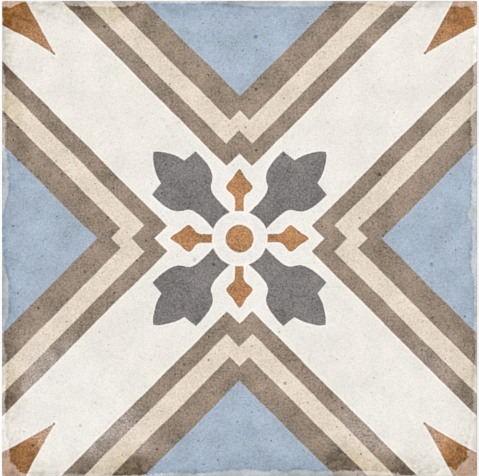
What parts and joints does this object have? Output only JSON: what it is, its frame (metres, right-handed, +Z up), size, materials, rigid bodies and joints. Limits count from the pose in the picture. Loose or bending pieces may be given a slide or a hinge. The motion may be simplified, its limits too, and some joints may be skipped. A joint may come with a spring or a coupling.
{
  "type": "decorative tile",
  "caption": "Square pressed ceramic floor tile with a matt worn geometric and floral pattern on its face and a keying grid on its back.",
  "frame": {"origin": "middle of the tile's back, at the level of the ribs that it rests on", "axes": "+Z up through the decorated face, +X and +Y along the tile's sides"},
  "size_m": [0.2, 0.2, 0.0085],
  "materials": {
    "fired_tile": "matte"
  },
  "bodies": {
    "root": {"tile": "fired_tile"}
  },
  "joints": []
}
